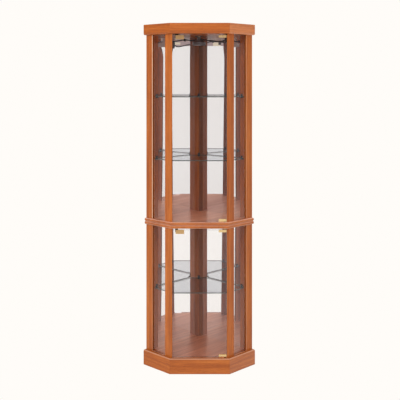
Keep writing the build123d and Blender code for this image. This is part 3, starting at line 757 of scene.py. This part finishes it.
def screw_heads(name, places, outward, screw, body, material):
    """Domed screw heads with a hexagon socket, all facing the same way."""
    diameter, height = screw
    sides = 24
    radius = diameter / 2
    # Each ring's radius and level, and whether it belongs to the hexagon socket
    rings = [
        (radius, -SUNK, False),
        (radius, height * 0.4, False),
        (radius * 0.88, height * 0.8, False),
        (radius * 0.66, height, False),
        (radius * 0.48, height, True),
        (radius * 0.48, height * 0.35, True),
    ]
    mesh = bmesh.new()
    turn = Vector((0, 0, 1)).rotation_difference(Vector(outward)).to_matrix().to_4x4()
    for place in places:
        levels = []
        for reach, level, hexagonal in rings:
            ring = []
            for index in range(sides):
                angle = 2 * pi * index / sides
                size = reach * cos(pi / 6) / cos(angle % (pi / 3) - pi / 6) if hexagonal else reach
                point = Vector((size * cos(angle), size * sin(angle), level))
                ring.append(mesh.verts.new(Vector(place) + turn @ point))
            levels.append(ring)
        for lower, upper in zip(levels, levels[1:]):
            for index in range(sides):
                after = (index + 1) % sides
                mesh.faces.new((lower[index], lower[after], upper[after], upper[index]))
        mesh.faces.new(levels[-1])
        mesh.faces.new(list(reversed(levels[0])))
    data = bpy.data.meshes.new(name)
    mesh.to_mesh(data)
    mesh.free()
    data.materials.append(material)
    heads = bpy.data.objects.new(name, data)
    bpy.context.collection.objects.link(heads)
    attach(heads, body)


def add_fasteners(brass):
    """Set screws in the clips on the glass, and screws that hold the latches and the lamp."""
    for section, (floor, ceiling) in SECTIONS.items():
        door = f"{section}_door"
        clip_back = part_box(f"{section}_door_hinges")[1].y
        levels = (floor + CLIP_SCREW_ABOVE_FLOOR, ceiling - CLIP_SCREW_BELOW_CEILING)
        places = [(x, clip_back, level) for x in CLIP_SCREWS_X for level in levels]
        screw_heads(f"{section}_hinge_screws", places, (0, 1, 0), CLIP_SCREW, door, brass)
        plate_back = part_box(f"{section}_strike_plate")[1].y
        places = [(STRIKE_SCREW_X, plate_back, ceiling - STRIKE_SCREW_BELOW_CEILING)]
        screw_heads(f"{section}_strike_screw", places, (0, 1, 0), STRIKE_SCREW, door, brass)
        latch = centre(f"{section}_latch_body")
        reaches = (-LATCH_SCREW_REACH, LATCH_SCREW_REACH)
        places = [(latch.x + reach, latch.y, ceiling - LATCH_FLANGE) for reach in reaches]
        screw_heads(f"{section}_latch_screws", places, (0, 0, -1), MOUNT_SCREW, "cabinet", brass)
    lamp = centre("lamp_housing")
    canopy = SECTIONS["upper"][1] - CANOPY_HEIGHT
    places = [(0, lamp.y + reach, canopy) for reach in (-CANOPY_SCREW_REACH, CANOPY_SCREW_REACH)]
    screw_heads("canopy_screws", places, (0, 0, -1), MOUNT_SCREW, "cabinet", brass)


# Setting: floor, backdrop, light and camera


def flat_sheet(name, corners):
    """A four-cornered sheet that belongs to the studio."""
    mesh = bpy.data.meshes.new(name)
    mesh.from_pydata(corners, [], [(0, 1, 2, 3)])
    sheet = bpy.data.objects.new(name, mesh)
    bpy.context.collection.objects.link(sheet)
    return sheet


def make_floor():
    """A pale floor that melts into the backdrop, and catches soft light as paper does."""
    half = 9.0
    floor = flat_sheet("floor", [(-half, -half, 0), (half, -half, 0), (half, half, 0), (-half, half, 0)])
    material, tree, output = new_material("floor")
    mottle = noise(tree, stretched(tree, own_place(tree), (3, 3, 3)), 2.0)
    shade = ramp(tree, mottle, [(0.3, PAPER_DARK), (0.7, PAPER_LIGHT)])
    matt = add_node(tree, "BsdfDiffuse", {"Color": shade}).outputs[0]
    seen = larger(tree, ray(tree, "Is Camera Ray"), ray(tree, "Is Glossy Ray"))
    surface = mix_shaders(tree, seen, matt, glow(tree, BACKDROP))
    tree.links.new(surface, output.inputs["Surface"])
    floor.data.materials.append(material)


def make_far_wall():
    """The dim upper part of the room round the cabinet, which only the mirrors and glass show."""
    reach, low, high = 5.0, 1.85, 5.0
    plan = [(-reach, reach), (-reach, -reach), (reach, -reach), (reach, reach)]
    for index, (start, end) in enumerate(zip(plan, plan[1:])):
        corners = [(*start, low), (*end, low), (*end, high), (*start, high)]
        wall = flat_sheet(f"far_wall_{index + 1}", corners)
        wall.data.materials.append(dim_room())
        wall.visible_camera = False
        wall.visible_diffuse = False
        wall.visible_shadow = False


def dim_room():
    """The far walls' own dim light."""
    material, tree, output = new_material("far_wall")
    tree.links.new(glow(tree, DIM_ROOM), output.inputs["Surface"])
    return material


def make_world():
    """White to the eye and in reflections, softer as light."""
    world = bpy.data.worlds.new("studio")
    bpy.context.scene.world = world
    world.use_nodes = True
    tree = world.node_tree
    tree.nodes.clear()
    output = tree.nodes.new("ShaderNodeOutputWorld")
    seen = larger(tree, ray(tree, "Is Camera Ray"), ray(tree, "Is Glossy Ray"))
    seen = larger(tree, seen, ray(tree, "Is Transmission Ray"))
    backdrop = add_node(tree, "Background", {"Color": BACKDROP, "Strength": 1.0}).outputs[0]
    light = add_node(tree, "Background", {"Color": SOFT_DAYLIGHT, "Strength": 0.72}).outputs[0]
    tree.links.new(mix_shaders(tree, seen, light, backdrop), output.inputs["Surface"])


def soft_box(name, place, target, size, power):
    """A large soft light that faces a point and isn't seen in reflections."""
    light = bpy.data.lights.new(name, "AREA")
    light.shape = "SQUARE"
    light.size = size
    light.energy = power
    lamp = bpy.data.objects.new(name, light)
    lamp.location = place
    lamp.rotation_euler = (Vector(target) - Vector(place)).to_track_quat("-Z", "Y").to_euler()
    lamp.visible_glossy = False
    bpy.context.collection.objects.link(lamp)


def make_camera():
    """Level camera at the photograph's place; the lens is shifted down and a little to the right."""
    data = bpy.data.cameras.new("camera")
    data.sensor_width = 36.0
    data.lens = 70.4
    data.shift_x = 0.030
    data.shift_y = -0.295
    camera = bpy.data.objects.new("camera", data)
    camera.location = (-0.0567, -4.007, 1.4195)
    camera.rotation_euler = (radians(90), 0, 0)
    bpy.context.collection.objects.link(camera)
    bpy.context.scene.camera = camera


make_camera()
finish_wood()
finish_glass()
brass, rubber = finish_fittings()
lay_lead("lamp_lead_curve", LAMP_LEAD, "lamp_lead", rubber)
lay_lead("supply_lead_curve", SUPPLY_LEAD, "supply_lead", rubber)
add_fasteners(brass)
make_floor()
make_far_wall()
make_world()
soft_box("key_light", place=(-1.8, -3.2, 2.6), target=(0, 0, 0.9), size=2.2, power=75.0)
soft_box("fill_light", place=(2.4, -2.6, 1.6), target=(0, 0, 0.8), size=2.0, power=18.0)
bpy.context.scene.view_settings.view_transform = "Standard"
